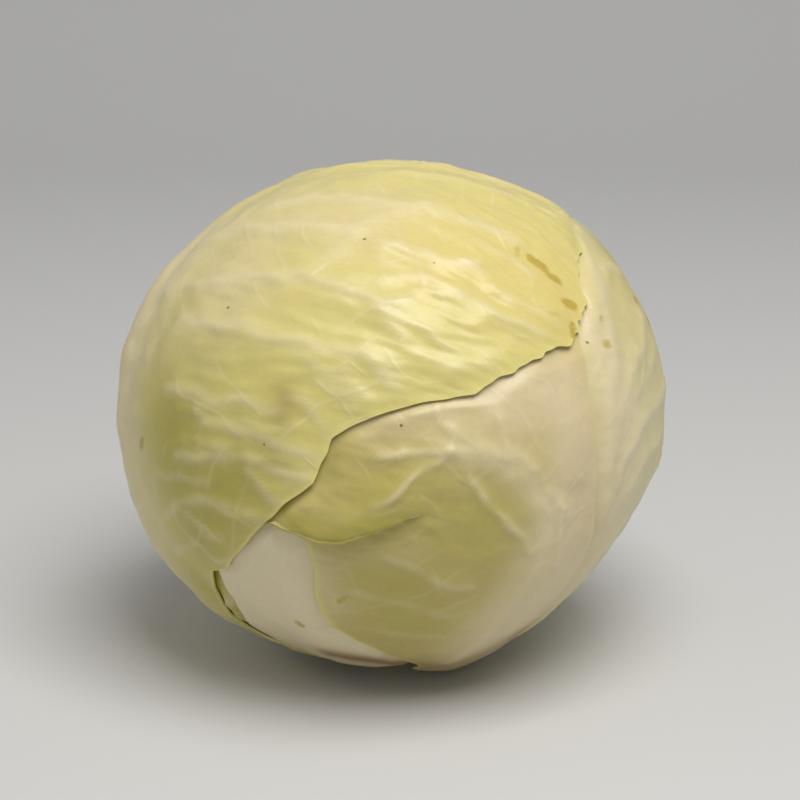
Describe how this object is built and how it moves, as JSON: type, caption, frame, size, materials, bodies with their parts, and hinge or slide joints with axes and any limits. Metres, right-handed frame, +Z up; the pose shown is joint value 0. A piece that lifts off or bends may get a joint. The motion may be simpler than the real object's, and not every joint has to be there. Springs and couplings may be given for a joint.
{
  "type": "cabbage",
  "caption": "Round head of white cabbage with overlapping wrapper leaves, a folded front leaf and a cut stalk underneath.",
  "frame": {"origin": "middle of the flat spot that the head rests on, under its centre", "axes": "+Z up; +X along the widest extent, to the right as the folded leaf is faced; that leaf faces -Y"},
  "size_m": [0.18, 0.1777, 0.1641],
  "materials": {
    "stalk": "dry, fibrous cut",
    "inner_leaf": "waxy, soft sheen",
    "green_leaf": "waxy, soft sheen",
    "white_leaf": "waxy, soft sheen",
    "right_leaf": "waxy, soft sheen",
    "front_leaf": "waxy, soft sheen",
    "cover_leaf": "waxy, soft sheen",
    "back_leaf": "waxy, soft sheen"
  },
  "bodies": {
    "root": {"stalk": "stalk", "inner_head": "inner_leaf", "leaf_low_left": "green_leaf", "leaf_low_front": "white_leaf", "leaf_right": "right_leaf", "leaf_front": "front_leaf", "leaf_cover": "cover_leaf", "leaf_back": "back_leaf"}
  },
  "joints": []
}
